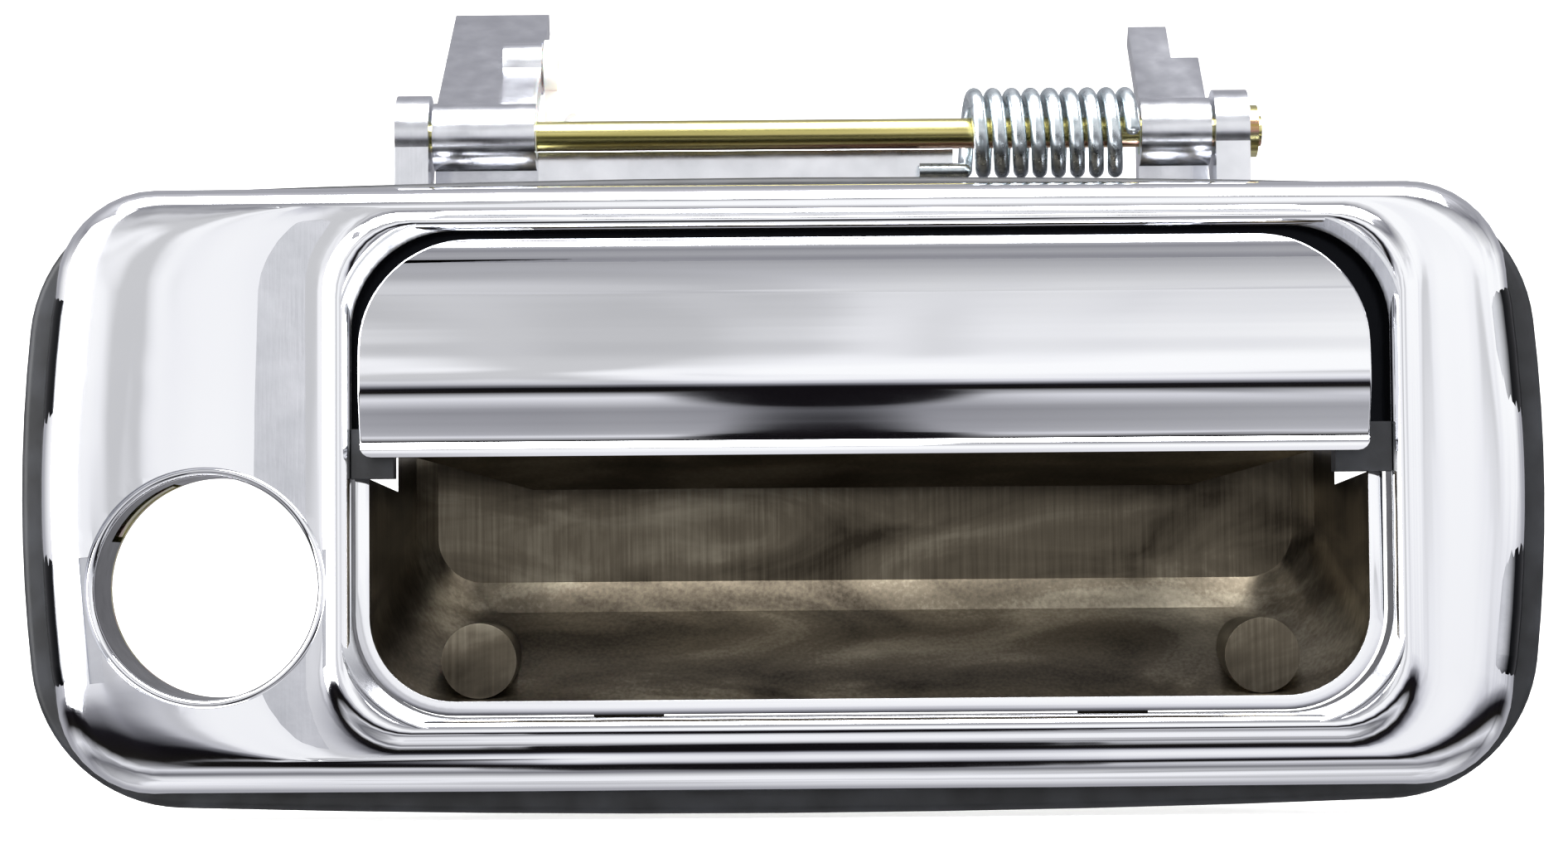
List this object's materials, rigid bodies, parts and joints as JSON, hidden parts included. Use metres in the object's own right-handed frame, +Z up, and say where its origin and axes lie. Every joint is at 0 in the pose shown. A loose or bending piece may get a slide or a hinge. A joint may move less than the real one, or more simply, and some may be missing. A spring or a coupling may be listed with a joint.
{
  "type": "car door handle",
  "caption": "Outside car door handle: chrome frame with lock hole, spring-loaded pull paddle over a stamped finger cup, hinge rod and latch levers behind.",
  "frame": {"origin": "midway between the two fixing studs, on the inner panel's face that they clamp to, 20 mm behind the outside of the door skin", "axes": "+Z up, +Y into the door, +X along the handle to the hinge rod's ring end; the chrome face looks towards -Y"},
  "size_m": [0.196, 0.0557, 0.1101],
  "materials": {
    "chrome": "mirror chrome plating over die-cast zinc",
    "chrome_back": "dull plated zinc casting",
    "black_rubber": "matt moulded rubber",
    "cup_steel": "brushed stamped steel, brownish grey",
    "yellow_zinc": "yellow chromate zinc plating over steel",
    "clear_zinc": "bluish zinc plating over steel",
    "nylon": "natural white nylon"
  },
  "bodies": {
    "housing": {"bezel": "chrome", "gasket": "black_rubber", "recess_cup": "cup_steel", "lock_backing_plate": "yellow_zinc", "bump_stop_left": "black_rubber", "bump_stop_right": "black_rubber", "hinge_rod": "yellow_zinc", "rod_retaining_ring": "yellow_zinc", "return_spring": "clear_zinc", "mounting_studs": "clear_zinc", "cup_screws": "clear_zinc", "backing_plate_screws": "clear_zinc"},
    "paddle": {"pull_paddle": "chrome", "paddle_inner_plate": "cup_steel", "hinge_carrier": "chrome_back", "carrier_rivets": "clear_zinc", "hinge_bush_left": "nylon", "hinge_bush_right": "nylon"},
    "clip": {"rod_clip": "nylon"}
  },
  "joints": [
    {"name": "paddle_pull", "type": "hinge", "parent": "housing", "child": "paddle", "pos_m": [-0.011, -0.01, 0.069], "axis": [-1, 0, 0], "range_deg": [0, 28], "stiffness_Nm_per_rad": 0.6, "springref_deg": -28.65, "deforming": ["return_spring"]},
    {"name": "rod_clip_swivel", "type": "hinge", "parent": "paddle", "child": "clip", "pos_m": [-0.0433, 0.0076, 0.0806], "axis": [1, 0, 0], "range_deg": [-30, 30]}
  ]
}
